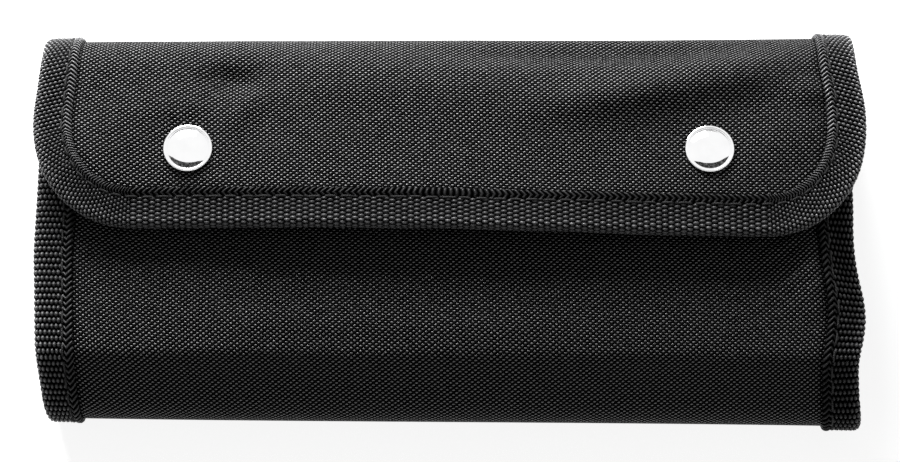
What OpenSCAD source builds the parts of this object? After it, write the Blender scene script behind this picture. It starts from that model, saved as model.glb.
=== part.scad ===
// Chef knife case: a soft-sided pouch of woven nylon on stiff panels, with bound
// edges and a fold-over flap that closes on two press studs. It lies on its back.
// X runs along the folds, Y from the bottom fold to the top fold, Z up.

/* [Case] */
// Width over the binding tape
case_w = 252; // [220:1:300]
// Height from the bottom fold to the top fold, over the tape
case_l = 121; // [118:1:150]
// How far the front's free edge stops short of the top fold
mouth_set = 20; // [18:0.5:26]
// Slope of the front down to its free edge, in degrees
front_tilt = 4; // [3:0.5:6]
// Radius of the bow across the front
front_r = 200; // [150:5:260]
// Slope at the lower end of that bow, in degrees
front_bow = 6; // [4:0.5:8]

/* [Bottom fold] */
// Radius where the front turns into the base
crease_r = 10; // [8:0.5:14]
// Length of the sloping base
base_len = 12.5; // [11:0.5:16]
// Slope of the base, in degrees
base_slope = 33; // [28:1:38]
// Radius where the base turns into the back
fold_r = 10.5; // [9:0.5:13]

/* [Layers] */
// Thickness of the woven outer fabric
fabric_t = 0.9; // [0.6:0.1:1.3]
// Thickness of the boards and of the foam in the bends
core_t = 1.5; // [1:0.1:2.2]
// Thickness of the lining
lining_t = 0.5; // [0.3:0.1:0.8]
// Thickness of the side gussets
gusset_t = 0.9; // [0.6:0.1:1.3]
// How far the boards stop short of the sheet edges
board_inset = 2.5; // [1.5:0.5:6]

/* [Binding tape] */
// Width of the folded tape
tape_w = 12; // [9:0.5:15]
// Thickness of the tape
tape_t = 1; // [0.7:0.1:1.3]

/* [Flap] */
// From the top fold down to the flap's edge
flap_drop = 65.6; // [60:0.2:70]
// Radius of the flap's corners
corner_r = 30; // [24:1:34]
// Gap in the shells where the top fold bends, one for each living hinge
hinge_gap = 0.4; // [0.3:0.1:0.8]

/* [Press studs] */
// Distance between the two studs
snap_pitch = 158; // [120:1:190]
// From the flap's edge up to the studs
snap_inset = 25; // [23:0.5:28]
// Diameter of the domed cap
cap_d = 15; // [12.5:0.5:17]
// Height of the dome
cap_h = 2.6; // [2:0.1:3.4]
// Radius of the rolled edge of the cap
cap_roll = 0.5; // [0.4:0.05:0.7]
// Thickness of the pressed sheet
sheet_t = 0.5; // [0.4:0.05:0.6]
// Diameter of the socket, the stud's flange and the eyelet's flange
socket_d = 12.8; // [11:0.2:14]
// Diameter of the post that joins cap and socket, and of the eyelet's tube
post_d = 4; // [3.4:0.1:4.4]
// Diameter of the stud's bulb
bulb_d = 6; // [5.6:0.1:6.6]
// How far the bulb stands out over the stud's neck
bulb_lip = 0.45; // [0.35:0.05:0.5]
// Height of the stud over the front
stud_h = 3.4; // [3.2:0.1:4]
// Thickness of a clenched end
clench_t = 0.3; // [0.2:0.05:0.4]
// Diameter of the ring spring's wire
wire_d = 0.6; // [0.5:0.05:0.7]
// Clearance between pieces that go one inside the other
fit = 0.1; // [0.05:0.05:0.15]
// Clearance between pieces that must not touch
clear = 0.3; // [0.2:0.05:0.4]

/* [Knife straps] */
// Width of the elastic straps
strap_w = 25; // [20:1:32]
// Thickness of the elastic
strap_t = 0.8; // [0.6:0.1:1.2]
// Distance between the two straps
strap_pitch = 120; // [90:5:140]
// Number of loops in each strap
loop_n = 3; // [2:1:3]
// Distance from loop to loop
loop_pitch = 29; // [27:0.5:31]
// Radius of a loop, inside
loop_r = 10; // [8:0.5:11]

/* [Inner pocket] */
// Width of the slip pocket
pocket_w = 190; // [140:5:200]
// From the front's free edge to the pocket's hem
pocket_drop = 31; // [30:0.5:36]
// Thickness of the pocket and of its hem
pocket_t = 0.6; // [0.4:0.1:0.8]
// Width of the hem
hem_w = 9; // [6:0.5:12]

/* [Hidden] */
$fn = 96;

// How far a bend's facets may lie inside its arc
facet_depth = 0.02;
// How far cutters run past what they cut
past = 1;
// Vertices nearer than this along the path are one
same = 0.01;

// Colours, as the photograph shows them
cloth = [0.11, 0.11, 0.12];
tape = [0.15, 0.15, 0.16];
lining = [0.2, 0.2, 0.21];
board = [0.45, 0.42, 0.38];
foam = [0.3, 0.3, 0.32];
elastic = [0.08, 0.08, 0.09];
polished = [0.86, 0.87, 0.88];
plated = [0.7, 0.71, 0.72];

// The sheets: total thickness, half width, and the tape's inner edge
layers = fabric_t + core_t + lining_t;
half_w = case_w / 2 - tape_t;
wall_x = case_w / 2 - tape_w;
tape_in = tape_w - tape_t;

// Space between flap and front, filled by the press studs
snap_gap = sheet_t + clench_t + clear + clench_t + stud_h;

// The section of all sheets is one path of straights and bends, which all turn
// the same way: front, bow, crease, base, fold, back, two bends of the top fold,
// flap. Positions are [y, z] on the outer face, and depth is measured inwards.
FRONT = 0;
BOW = 1;
CREASE = 2;
BASE = 3;
FOLD = 4;
BACK = 5;
TOP_BACK = 6;
TOP_FRONT = 7;
FLAP = 8;

turns = [
    0, front_tilt + front_bow, base_slope - front_bow, 0, 180 - base_slope,
    0, 90, 90 - front_tilt, 0
];

function total(v, n, i = 0) = i >= n ? v[0] * 0 : v[i] + total(v, n, i + 1);
function along(a) = [cos(a), sin(a)];
function inward(a) = [-sin(a), cos(a)];
function aim(i) = 180 - front_tilt + total(turns, i);
function reach(size, i) =
    turns[i] == 0 ? size * along(aim(i)) : size * (inward(aim(i)) - inward(aim(i + 1)));

// Where the bow starts, worked back from the back panel
back_start = [fold_r + tape_t - case_l / 2, tape_t];
bow_start = back_start - reach(front_r, BOW) - reach(crease_r, CREASE)
    - reach(base_len, BASE) - reach(fold_r, FOLD);
front_len = (case_l / 2 - mouth_set - bow_start[0]) / cos(front_tilt);

// Radius of the top fold that lays the flap parallel to the front, over the studs
up = -inward(aim(FRONT));
top_r = (layers + snap_gap + bow_start * up - (case_l / 2 - tape_t) * up[0]
    - tape_t * up[1]) / (1 + up[1] - up[0]);
back_len = case_l - 2 * tape_t - fold_r - top_r;
flap_len = (flap_drop - tape_t - top_r * (1 - up[0])) / up[1] - tape_t;

sizes = [
    front_len, front_r, crease_r, base_len, fold_r, back_len, top_r, top_r,
    flap_len
];
runs = [for (i = [FRONT:FLAP]) turns[i] == 0 ? sizes[i] : sizes[i] * turns[i] * PI / 180];
reaches = [for (i = [FRONT:FLAP]) reach(sizes[i], i)];
front_start = bow_start - front_len * along(aim(FRONT));

function mark(i) = total(runs, i);
function corner(i) = front_start + total(reaches, i);

// The stretch at a place on the path, and the point there at some depth. Places
// before the front and beyond the flap lie straight on.
function stretch(s) = len([for (i = [BOW:FLAP]) if (mark(i) <= s) i]);
function point(s, depth) =
    let (i = stretch(s), aim_here = aim(i) + (s - mark(i)) * turns[i] / runs[i])
    turns[i] == 0
        ? corner(i) + (s - mark(i)) * along(aim(i)) + depth * inward(aim(i))
        : corner(i) + sizes[i] * inward(aim(i)) - (sizes[i] - depth) * inward(aim_here);

// The places from one to another at which the section has a vertex
function facets(i) =
    turns[i] == 0 ? 1 : ceil(turns[i] / (2 * acos(1 - facet_depth / sizes[i])));
function places(from, to) = concat(
    [from],
    [for (i = [FRONT:FLAP], k = [0:facets(i) - 1])
        let (s = mark(i) + runs[i] * k / facets(i)) if (s > from + same && s < to - same) s],
    [to]
);

// The living hinges are halfway round each bend of the top fold
hinge_back = mark(TOP_BACK) + runs[TOP_BACK] / 2;
hinge_front = mark(TOP_FRONT) + runs[TOP_FRONT] / 2;
case_end = hinge_back - hinge_gap / 2;
spine_start = hinge_back + hinge_gap / 2;
spine_end = hinge_front - hinge_gap / 2;
flap_start = hinge_front + hinge_gap / 2;

// The gussets end level with the front's free edge
mouth = point(0, layers);
gusset_end = mark(BACK) + mouth[0] - back_start[0];

// Where the studs stand along the flap
snap_y = flap_len + tape_t - snap_inset;

// Points along the section at one depth. A cutter's line runs straight on past the
// ends named, and has no vertex there.
function beyond(a, b) = b + past * (b - a) / norm(b - a);
function line(depth, from, to, past_from = false, past_to = false) =
    let (p = [for (s = places(from, to)) point(s, depth)], n = len(p) - 1)
    [for (i = [0:n])
        i == 0 && past_from ? beyond(p[1], p[0])
            : i == n && past_to ? beyond(p[n - 1], p[n]) : p[i]];
function backwards(v) = [for (i = [len(v) - 1:-1:0]) v[i]];

module across(x0, x1, outline) {
    translate([x0, 0, 0]) rotate([90, 0, 90]) linear_extrude(x1 - x0) polygon(outline);
}

// A sheet between two depths, from one place on the path to another and from x0
// to x1. A cutter runs on past both of its ends.
module sheet(d0, d1, from, to, x0, x1, cutter = false) {
    across(x0, x1, concat(
        line(d0, from, to, cutter, cutter),
        backwards(line(d1, from, to, cutter, cutter))
    ));
}

// Tape folded over the right-hand edge of the layers
module edge_tape(from, to) {
    difference() {
        sheet(-tape_t, layers + tape_t, from, to, wall_x, case_w / 2);
        sheet(0, layers, from, to, wall_x - past, half_w, true);
    }
}

// The flap's own frame: y runs from the top fold to its edge, z inwards
module flap_frame() {
    translate([0, corner(FLAP)[0], corner(FLAP)[1]]) rotate([aim(FLAP), 0, 0]) children();
}

// A block with the flap's rounded outline, which cuts the flap's sheets to shape
module flap_block(inset = 0) {
    side = half_w - inset;
    edge = flap_len - inset;
    round = corner_r - tape_t - inset;
    depth = 2 * top_r;
    flap_frame() translate([0, 0, -depth]) linear_extrude(2 * depth) difference() {
        translate([-side, -depth]) square([2 * side, edge + depth]);
        for (sx = [0, 1]) mirror([sx, 0]) translate([side - round, edge - round]) difference() {
            square(round + past);
            circle(round);
        }
    }
}

// Both stud places, in the flap's frame
module at_snaps() {
    flap_frame() for (sx = [-1, 1]) translate([sx * snap_pitch / 2, snap_y, 0]) children();
}

module snap_holes() {
    at_snaps() translate([0, 0, -past]) cylinder(d = bore_d, h = 2 * layers + snap_gap + 2 * past);
}

module ring(z, h, outer_d, inner_d) {
    translate([0, 0, z]) difference() {
        cylinder(d = outer_d, h = h);
        translate([0, 0, -past]) cylinder(d = inner_d, h = h + 2 * past);
    }
}

// Sheets of the case

module case_sheet(d0, d1, from, to, inset = 0) {
    sheet(d0, d1, from, to, inset - half_w, half_w - inset);
}

module core(from, to) {
    case_sheet(fabric_t, fabric_t + core_t, from, to, board_inset);
}

module outer_shell() {
    color(cloth) difference() {
        case_sheet(0, fabric_t, 0, case_end);
        snap_holes();
    }
}

module back_board() {
    color(board) core(mark(BACK), mark(TOP_BACK));
}

module base_board() {
    color(board) core(mark(BASE), mark(FOLD));
}

module front_board() {
    color(board) difference() {
        core(board_inset, mark(CREASE));
        snap_holes();
    }
}

module bend_foam() {
    color(foam) {
        core(mark(CREASE), mark(BASE));
        core(mark(FOLD), mark(BACK));
        core(mark(TOP_BACK), case_end);
    }
}

module case_lining() {
    color(lining) difference() {
        case_sheet(fabric_t + core_t, layers, 0, case_end);
        snap_holes();
    }
}

// Side gusset: an end wall with a flange turned out under the binding

module gusset() {
    sheet(layers, layers + gusset_t, 0, gusset_end, wall_x, half_w);
    translate([wall_x - gusset_t, 0, 0]) rotate([90, 0, 90]) linear_extrude(gusset_t)
        polygon([for (s = places(0, gusset_end)) point(s, layers)]);
}

module gusset_left() {
    color(cloth) mirror([1, 0, 0]) gusset();
}

module gusset_right() {
    color(cloth) gusset();
}

// Binding tape folded over the edges

// The tape's inner leg steps down from the gusset's flange to the lining

module case_binding() {
    thick = layers + gusset_t;
    step = gusset_end + gusset_t;
    difference() {
        across(wall_x, case_w / 2, concat(
            line(-tape_t, 0, case_end),
            backwards(line(layers + tape_t, step, case_end)),
            backwards(line(thick + tape_t, 0, gusset_end))
        ));
        across(wall_x - past, half_w, concat(
            line(0, 0, case_end, true, true),
            backwards(line(layers, step, case_end, false, true)),
            backwards(line(thick, 0, gusset_end, true, false))
        ));
    }
}

module case_binding_left() {
    color(tape) mirror([1, 0, 0]) case_binding();
}

module case_binding_right() {
    color(tape) case_binding();
}

module mouth_binding() {
    end_x = wall_x - gusset_t;
    color(tape) difference() {
        sheet(-tape_t, layers + tape_t, -tape_t, tape_in, -end_x, end_x);
        sheet(0, layers, 0, tape_in + past, -end_x - past, end_x + past);
    }
}

module gusset_binding() {
    low = back_start[1] + layers + gusset_t + tape_t + clear;
    high = mouth[1] - gusset_t - tape_t - clear;
    difference() {
        translate([wall_x - gusset_t - tape_t, mouth[0] - tape_in, low])
            cube([gusset_t + 2 * tape_t, tape_w, high - low]);
        translate([wall_x - gusset_t, mouth[0] - tape_w, low - past])
            cube([gusset_t, tape_w, high - low + 2 * past]);
    }
}

module gusset_binding_left() {
    color(tape) mirror([1, 0, 0]) gusset_binding();
}

module gusset_binding_right() {
    color(tape) gusset_binding();
}

// Elastic straps on the back lining, sewn down between the loops

module knife_strap() {
    middle = back_start[0] + back_len / 2;
    floor_z = back_start[1] + layers;
    outer_r = loop_r + strap_t;
    strap_l = loop_n * loop_pitch;
    translate([-strap_w / 2, middle, floor_z]) difference() {
        union() {
            translate([0, -strap_l / 2, 0]) cube([strap_w, strap_l, strap_t]);
            for (k = [0:loop_n - 1])
                translate([0, (k - (loop_n - 1) / 2) * loop_pitch, 0]) rotate([0, 90, 0])
                    rotate([0, 0, 90]) rotate_extrude(angle = 180)
                        square([outer_r, strap_w]);
        }
        for (k = [0:loop_n - 1])
            translate([-past, (k - (loop_n - 1) / 2) * loop_pitch, 0]) rotate([0, 90, 0])
                cylinder(r = loop_r, h = strap_w + 2 * past);
    }
}

module knife_strap_left() {
    color(elastic) translate([-strap_pitch / 2, 0, 0]) knife_strap();
}

module knife_strap_right() {
    color(elastic) translate([strap_pitch / 2, 0, 0]) knife_strap();
}

// Slip pocket inside the front, with an elastic hem

module slip_pocket() {
    color(lining) sheet(layers, layers + pocket_t, pocket_drop, mark(FOLD),
        -pocket_w / 2, pocket_w / 2);
}

module pocket_hem() {
    color(elastic) sheet(layers + pocket_t, layers + 2 * pocket_t, pocket_drop,
        pocket_drop + hem_w, -pocket_w / 2, pocket_w / 2);
}

// Press studs. In the flap's frame z runs inwards: cap, flap, socket, stud, front.

bulb_r = bulb_d / 2;
neck_r = bulb_r - bulb_lip;
roll_z = layers + snap_gap - sheet_t;
stud_top = layers + snap_gap - stud_h;
bore_d = post_d + 2 * fit;
wire_r = wire_d / 2;
lip_d = bulb_d + 4 * clear;
socket_wall = lip_d / 2 + wire_d + 2 * fit;
socket_h = snap_gap - sheet_t - 2 * clear;
spring_z = layers + socket_h - sheet_t - wire_r - fit;
bulb_h = spring_z - wire_r - fit - stud_top;

module snap_caps() {
    cap_r = cap_d / 2;
    inner_r = cap_r - cap_roll;
    dome_r = (inner_r * inner_r + cap_h * cap_h) / (2 * cap_h);
    color(polished) at_snaps() {
        difference() {
            translate([0, 0, dome_r - cap_h]) sphere(dome_r);
            translate([0, 0, dome_r - cap_h]) sphere(dome_r - sheet_t);
            translate([-cap_d, -cap_d, -cap_roll]) cube([2 * cap_d, 2 * cap_d, 4 * dome_r]);
        }
        translate([0, 0, -cap_roll]) rotate_extrude() translate([inner_r, 0]) circle(cap_roll, $fn = 32);
        translate([0, 0, -sheet_t]) cylinder(r = inner_r, h = sheet_t);
        ring(-sheet_t, layers + sheet_t + sheet_t + clench_t, post_d, post_d - 2 * sheet_t);
        ring(layers + sheet_t, clench_t, post_d + 4 * clear, post_d - 2 * sheet_t);
    }
}

module snap_sockets() {
    color(plated) at_snaps() {
        ring(layers, sheet_t, socket_d, bore_d);
        ring(layers, socket_h, 2 * socket_wall + 2 * sheet_t, 2 * socket_wall);
        ring(layers + socket_h - sheet_t, sheet_t, 2 * socket_wall + sheet_t, lip_d);
    }
}

// The ring spring is open for a sixth of its turn, and grips the stud's neck
module socket_springs() {
    open = 60;
    spring_r = neck_r + fit + wire_r;
    color(plated) at_snaps() translate([0, 0, spring_z]) rotate([0, 0, open / 2])
        rotate_extrude(angle = 360 - open) translate([spring_r, 0]) circle(wire_r, $fn = 32);
}

module snap_studs() {
    color(plated) at_snaps() {
        ring(roll_z, sheet_t, socket_d, bore_d);
        ring(stud_top, stud_h - sheet_t, 2 * neck_r, bore_d);
        ring(stud_top, bulb_h, bulb_d, bore_d);
    }
}

module stud_eyelets() {
    inside = 2 * layers + snap_gap;
    color(plated) at_snaps() {
        ring(stud_top - clench_t, inside - stud_top + clench_t, post_d, post_d - 2 * sheet_t);
        ring(stud_top - clench_t, clench_t, 2 * neck_r, post_d - 2 * sheet_t);
        ring(inside, sheet_t, socket_d, post_d - 2 * sheet_t);
    }
}

// Spine: the middle of the top fold, between the two living hinges

module spine_outer() {
    color(cloth) case_sheet(0, fabric_t, spine_start, spine_end);
}

module spine_foam() {
    color(foam) core(spine_start, spine_end);
}

module spine_lining() {
    color(lining) case_sheet(fabric_t + core_t, layers, spine_start, spine_end);
}

module spine_binding_left() {
    color(tape) mirror([1, 0, 0]) edge_tape(spine_start, spine_end);
}

module spine_binding_right() {
    color(tape) edge_tape(spine_start, spine_end);
}

// Flap

flap_end = mark(FLAP) + flap_len;

module flap_blank(d0, d1, cutter = false) {
    side = case_w / 2 + past;
    sheet(d0, d1, flap_start, flap_end + 2 * past, -side, side, cutter);
}

module flap_sheet(d0, d1, inset = 0) {
    difference() {
        intersection() {
            flap_blank(d0, d1);
            flap_block(inset);
        }
        snap_holes();
    }
}

module flap_outer() {
    color(cloth) flap_sheet(0, fabric_t);
}

module flap_core() {
    color(board) flap_sheet(fabric_t, fabric_t + core_t, board_inset);
}

module flap_lining() {
    color(lining) flap_sheet(fabric_t + core_t, layers);
}

module flap_binding() {
    color(tape) difference() {
        intersection() {
            flap_blank(-tape_t, layers + tape_t);
            flap_block(-tape_t);
        }
        flap_block(tape_in);
        intersection() {
            flap_blank(0, layers, true);
            flap_block();
        }
    }
}

outer_shell();
back_board();
base_board();
front_board();
bend_foam();
case_lining();
gusset_left();
gusset_right();
case_binding_left();
case_binding_right();
mouth_binding();
gusset_binding_left();
gusset_binding_right();
knife_strap_left();
knife_strap_right();
slip_pocket();
pocket_hem();
snap_studs();
stud_eyelets();
spine_outer();
spine_foam();
spine_lining();
spine_binding_left();
spine_binding_right();
flap_outer();
flap_core();
flap_lining();
flap_binding();
snap_caps();
snap_sockets();
socket_springs();
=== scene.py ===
"""The looks of a soft-sided chef knife case.

Woven nylon sheets, folded binding tape, stitches, straps and pocket are built here
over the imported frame. The press studs come from the frame and get new materials.
Sizes are in millimetres, as in the part's source, and become metres in the meshes.
"""

import math
import random

import bpy
import numpy as np
from mathutils import Matrix, Quaternion, Vector


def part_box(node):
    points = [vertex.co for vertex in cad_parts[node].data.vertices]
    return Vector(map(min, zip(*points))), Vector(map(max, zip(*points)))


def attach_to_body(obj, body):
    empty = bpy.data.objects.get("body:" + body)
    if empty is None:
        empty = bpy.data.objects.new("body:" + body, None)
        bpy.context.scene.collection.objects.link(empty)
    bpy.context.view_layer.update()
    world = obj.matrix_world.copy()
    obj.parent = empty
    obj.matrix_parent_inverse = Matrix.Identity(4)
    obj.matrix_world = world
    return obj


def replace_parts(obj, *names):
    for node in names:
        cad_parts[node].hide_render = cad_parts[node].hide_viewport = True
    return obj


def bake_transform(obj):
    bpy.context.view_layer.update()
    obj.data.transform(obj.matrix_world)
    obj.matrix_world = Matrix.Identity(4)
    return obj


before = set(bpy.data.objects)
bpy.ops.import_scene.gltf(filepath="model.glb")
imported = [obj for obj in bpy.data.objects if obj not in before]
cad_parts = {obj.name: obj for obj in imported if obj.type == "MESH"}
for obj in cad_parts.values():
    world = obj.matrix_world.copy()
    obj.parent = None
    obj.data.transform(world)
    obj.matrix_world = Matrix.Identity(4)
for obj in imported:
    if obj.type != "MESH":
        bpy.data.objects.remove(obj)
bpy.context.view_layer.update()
MM = 0.001

# Driving sizes, as in the part's source
CASE_W, CASE_L = 252.0, 121.0
MOUTH_SET = 20.0
FRONT_TILT, FRONT_BOW, BASE_SLOPE = 4.0, 6.0, 33.0
FRONT_R, CREASE_R, BASE_LEN, FOLD_R = 200.0, 10.0, 12.5, 10.5
FABRIC_T, CORE_T, LINING_T, GUSSET_T = 0.9, 1.5, 0.5, 0.9
TAPE_W, TAPE_T = 12.0, 1.0
BOARD_INSET = 2.5
FLAP_DROP, CORNER_R = 65.6, 30.0
SNAP_PITCH, SNAP_INSET, SNAP_GAP = 158.0, 25.0, 4.8
STRAP_W, STRAP_T, STRAP_PITCH = 25.0, 0.8, 120.0
LOOP_N, LOOP_PITCH, LOOP_R = 3, 29.0, 10.0
POCKET_W, POCKET_DROP, POCKET_T, HEM_W = 190.0, 31.0, 0.6, 9.0

LAYERS = FABRIC_T + CORE_T + LINING_T
HALF_W = CASE_W / 2 - TAPE_T
WALL_X = CASE_W / 2 - TAPE_W
TAPE_IN = TAPE_W - TAPE_T

# The section path: front, bow, crease, base, fold, back, top fold, flap
FRONT, BOW, CREASE, BASE, FOLD, BACK, TOP_BACK, TOP_FRONT, FLAP = range(9)
TURNS = [
    0, FRONT_TILT + FRONT_BOW, BASE_SLOPE - FRONT_BOW, 0, 180 - BASE_SLOPE,
    0, 90, 90 - FRONT_TILT, 0,
]


def along(angle):
    return np.array([math.cos(math.radians(angle)), math.sin(math.radians(angle))])


def inward(angle):
    return np.array([-math.sin(math.radians(angle)), math.cos(math.radians(angle))])


def aim(i):
    """The path's angle where its stretch i starts."""
    return 180 - FRONT_TILT + sum(TURNS[:i])


def reach(size, i):
    """The step from the start to the end of stretch i."""
    if TURNS[i] == 0:
        return size * along(aim(i))
    return size * (inward(aim(i)) - inward(aim(i + 1)))


def section():
    """The path's sizes and the corners between its stretches, worked out as in the source."""
    back_start = np.array([FOLD_R + TAPE_T - CASE_L / 2, TAPE_T])
    bow_start = back_start - sum(
        reach(size, i)
        for size, i in ((FRONT_R, BOW), (CREASE_R, CREASE), (BASE_LEN, BASE), (FOLD_R, FOLD))
    )
    front_len = (CASE_L / 2 - MOUTH_SET - bow_start[0]) / math.cos(math.radians(FRONT_TILT))
    up = -inward(aim(FRONT))
    top_r = LAYERS + SNAP_GAP + bow_start @ up - (CASE_L / 2 - TAPE_T) * up[0] - TAPE_T * up[1]
    top_r /= 1 + up[1] - up[0]
    back_len = CASE_L - 2 * TAPE_T - FOLD_R - top_r
    flap_len = (FLAP_DROP - TAPE_T - top_r * (1 - up[0])) / up[1] - TAPE_T
    sizes = [front_len, FRONT_R, CREASE_R, BASE_LEN, FOLD_R, back_len, top_r, top_r, flap_len]
    corners = [bow_start - front_len * along(aim(FRONT))]
    for i, size in enumerate(sizes):
        corners.append(corners[-1] + reach(size, i))
    return sizes, corners


SIZES, CORNERS = section()
RUNS = [size if turn == 0 else size * math.radians(turn) for size, turn in zip(SIZES, TURNS)]
MARKS = [sum(RUNS[:i]) for i in range(len(RUNS) + 1)]
SIDES = ((-1, "left"), (1, "right"))
SPINE_MID = MARKS[TOP_FRONT]
FLAP_END = MARKS[FLAP] + SIZES[FLAP]
MOUTH_Y = CORNERS[FRONT][0] - LAYERS * math.sin(math.radians(FRONT_TILT))
GUSSET_END = MARKS[BACK] + MOUTH_Y - CORNERS[BACK][0]


def section_points(s, depth):
    """Points [y, z] of the section at places s along the path and depths below its outer face."""
    s, depth = np.broadcast_arrays(np.asarray(s, float), np.asarray(depth, float))
    y, z = np.zeros(s.shape), np.zeros(s.shape)
    for i in range(len(RUNS)):
        low = -1e9 if i == 0 else MARKS[i]
        high = 1e9 if i == FLAP else MARKS[i + 1]
        here = (s >= low) & (s < high)
        start, angle = CORNERS[i], math.radians(aim(i))
        run, d = s[here] - MARKS[i], depth[here]
        if TURNS[i] == 0:
            y[here] = start[0] + run * math.cos(angle) - d * math.sin(angle)
            z[here] = start[1] + run * math.sin(angle) + d * math.cos(angle)
            continue
        centre = start + SIZES[i] * inward(aim(i))
        turned = angle + run / SIZES[i]
        y[here] = centre[0] + (SIZES[i] - d) * np.sin(turned)
        z[here] = centre[1] - (SIZES[i] - d) * np.cos(turned)
    return y, z


# The press studs' place on the flap and, straight under it, on the front
SNAP_S = FLAP_END + TAPE_T - SNAP_INSET
SNAP_Y = section_points(SNAP_S, LAYERS + SNAP_GAP)[0]
STUD_S = (CORNERS[FRONT][0] - SNAP_Y) / math.cos(math.radians(FRONT_TILT))

# How far the sides stand out over the straight ones, from place to place along the path
LEFT_SIDE = [
    (0, -0.6), (30, -0.6), (52, -0.35), (66, -1.1), (84, -1.8), (98, -3.2), (110, -4.1),
    (126, -3.0), (150, -1.0), (240, -1.0), (262, -0.9), (275, 0.0), (281, 0.7), (292, -0.3),
]
RIGHT_SIDE = [
    (0, -1.2), (28, -2.8), (46, -3.0), (57, -1.7), (67, 0.4), (74, -0.1), (84, -2.7),
    (96, -1.9), (112, -0.3), (126, -0.4), (150, -1.0), (240, -1.0), (264, -1.3), (274, 0.5),
    (282, 1.2), (290, 0.4),
]
# How far the flap's edge hangs lower, from left to right
EDGE_DROP = [(-126, -0.8), (-94, -0.8), (0, -0.35), (60, 1.4), (95, 1.5), (126, 1.0)]
# The right-hand side of the case is a little taller than the left
SKEW = 0.6
SMOOTHING = 4.0


def smooth_curve(knots, values):
    """Straight runs between knots, with their corners rounded off."""
    places, heights = zip(*knots)
    taps = np.linspace(-SMOOTHING, SMOOTHING, 5)
    return np.mean([np.interp(values + tap, places, heights) for tap in taps], axis=0)


def step(low, high, value):
    """0 below low, 1 above high, and smooth between them."""
    t = np.clip((value - low) / (high - low), 0, 1)
    return t * t * (3 - 2 * t)


def mound(x, s, at_x, at_s, wide, long, turned=0.0):
    """A round hill, 1 at its top, with its half widths and its turn in degrees."""
    c, k = math.cos(math.radians(turned)), math.sin(math.radians(turned))
    across = (x - at_x) * c + (s - at_s) * k
    down = (s - at_s) * c - (x - at_x) * k
    return np.exp(-((across / wide) ** 2) - (down / long) ** 2)


# Mounds and hollows of the cloth: x, place along the path, how far out, half widths, turn
DENTS = [
    # flap: its left end stands out
    (-110, FLAP_END - 24, 2.2, 15, 15, 0),
    (-86, FLAP_END - 37, 1.4, 15, 9, 0),
    # flap: a hollow over the left cap, with a low fold below it
    (-65, FLAP_END - 47, -3.6, 11, 5.5, 0),
    (-63, FLAP_END - 36, 1.4, 4.5, 14, 35),
    # flap: a ridge under the top fold, high on the right, with a hollow over it
    (-18, FLAP_END - 44, 1.2, 48, 8, 0),
    (58, FLAP_END - 42.5, 3.6, 34, 6.5, -9),
    (42, FLAP_END - 58.5, -3.4, 50, 8, -2),
    (90, FLAP_END - 47, 1.3, 14, 6, 0),
    # flap: it stands out beside the right-hand tape
    (110, FLAP_END - 42, 2.2, 8, 4.5, 0),
    (112, FLAP_END - 30, 1.4, 8, 10, 0),
    (100, FLAP_END - 31, 1.2, 10, 9, 0),
    # flap: its edge lies closer to the front at its ends
    (-100, FLAP_END, -2.2, 38, 14, 0),
    (100, FLAP_END, -1.6, 34, 14, 0),
    # front: it rises again over its bow
    (-12, MARKS[CREASE] - 7, 1.0, 62, 5, 1),
    # front: it stands out beside the right-hand tape, with a hollow next to that
    (111, MARKS[CREASE] - 22, 2.4, 7, 11, 0),
    (111, MARKS[CREASE] - 33, 1.6, 6, 7, 0),
    (92, MARKS[CREASE] - 30, -1.0, 9, 14, 15),
]

# How far the body's right-hand tape leans outwards, at the front's bow and below it
LEAN_BOW, LEAN_BASE = 4.5, 1.3
# Half the width of the flat places round the press studs
CALM_R = 10.0


def waves(x, s):
    """Slow waves everywhere, and tension wrinkles at the right of the body and the flap."""
    out = 0.25 * np.sin(x / 17.0 + 1.3) * np.sin(s / 13.0 + 0.4)
    out += 0.14 * np.sin(x / 7.3 + s / 11.0) * np.sin(s / 6.1 - x / 23.0 + 2.0)
    slant = np.sin((x * 0.8 + s * 1.25) * 0.8)
    out += 0.4 * slant * mound(x, s, 103, MARKS[CREASE] - 30, 11, 15)
    slant = np.sin((x - 0.9 * s) * 0.7)
    return out + 0.25 * slant * mound(x, s, 92, MARKS[CREASE] - 50, 16, 12)


def calm(x, s):
    """0 where boards are sewn in, at the back and at the press studs, and 1 elsewhere."""
    behind = step(MARKS[FOLD] - 4, MARKS[FOLD] + 6, s)
    out = 1 - behind * (1 - step(SPINE_MID, SPINE_MID + 14, s))
    for stud_x in (-SNAP_PITCH / 2, SNAP_PITCH / 2):
        for stud_s in (SNAP_S, STUD_S):
            off = ((x - stud_x) / CALM_R) ** 4 + ((s - stud_s) / CALM_R) ** 4
            out = out * (1 - np.exp(-off))
    return out


def swell(x, s):
    """How far the cloth stands out over the plain section, in its own normal's direction."""
    out = waves(x, s)
    for at_x, at_s, height, wide, long, turned in DENTS:
        out = out + height * mound(x, s, at_x, at_s, wide, long, turned)
    lean = LEAN_BOW * step(36, 56, s) * (1 - step(66, 82, s))
    lean += LEAN_BASE * step(66, 82, s) * (1 - step(96, 112, s))
    return (out - lean * step(WALL_X - 3, HALF_W, x)) * calm(x, s)


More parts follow.
